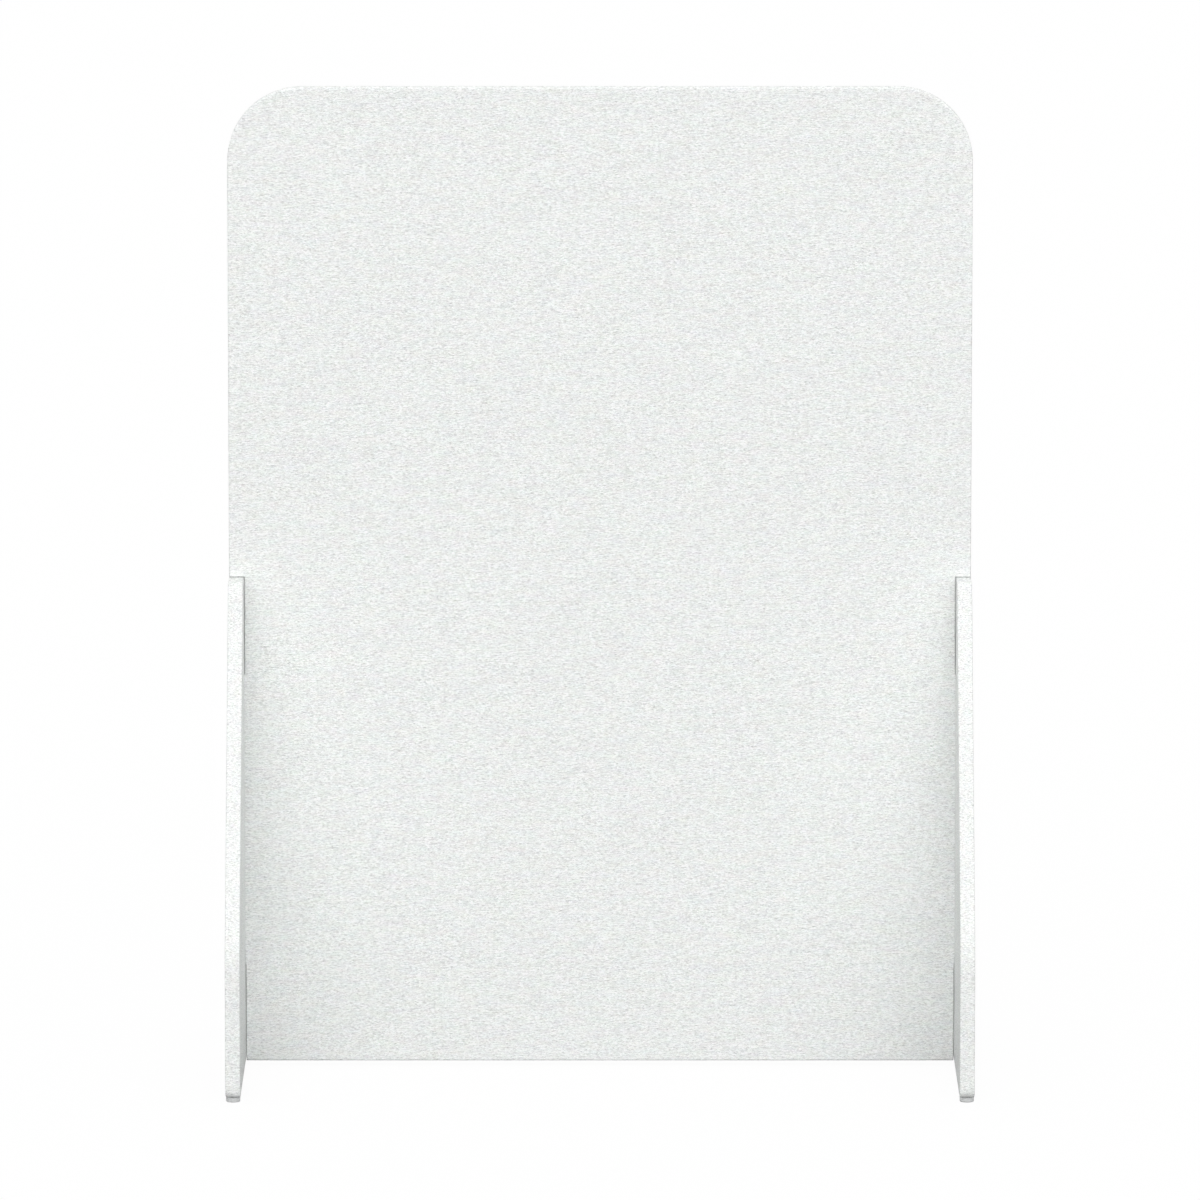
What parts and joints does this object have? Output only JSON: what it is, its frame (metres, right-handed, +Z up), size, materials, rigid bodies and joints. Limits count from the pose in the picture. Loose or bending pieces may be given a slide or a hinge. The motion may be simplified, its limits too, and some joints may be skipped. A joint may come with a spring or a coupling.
{
  "type": "acoustic divider screen",
  "caption": "Free-standing acoustic divider screen: a tall felt board with rounded top corners, held upright by half-height felt feet that push onto tenons on its lower sides.",
  "frame": {"origin": "on the floor, midway between the feet and midway through the screen", "axes": "+X to the right along the screen, -Y towards the front, +Z up"},
  "size_m": [1.2, 0.67, 1.6],
  "materials": {
    "felt": "matt pressed felt, near white",
    "glide": "moulded, pale grey",
    "screw": "plated"
  },
  "bodies": {
    "screen": {"screen": "felt"},
    "left_foot": {"left_foot": "felt", "front_left_glide": "glide", "rear_left_glide": "glide", "front_left_screw": "screw", "rear_left_screw": "screw"},
    "right_foot": {"right_foot": "felt", "front_right_glide": "glide", "rear_right_glide": "glide", "front_right_screw": "screw", "rear_right_screw": "screw"}
  },
  "joints": [
    {"name": "left_foot_slide", "type": "slide", "parent": "screen", "child": "left_foot", "axis": [-1, 0, 0], "range_m": [0, 0.04]},
    {"name": "right_foot_slide", "type": "slide", "parent": "screen", "child": "right_foot", "axis": [1, 0, 0], "range_m": [0, 0.04]}
  ]
}
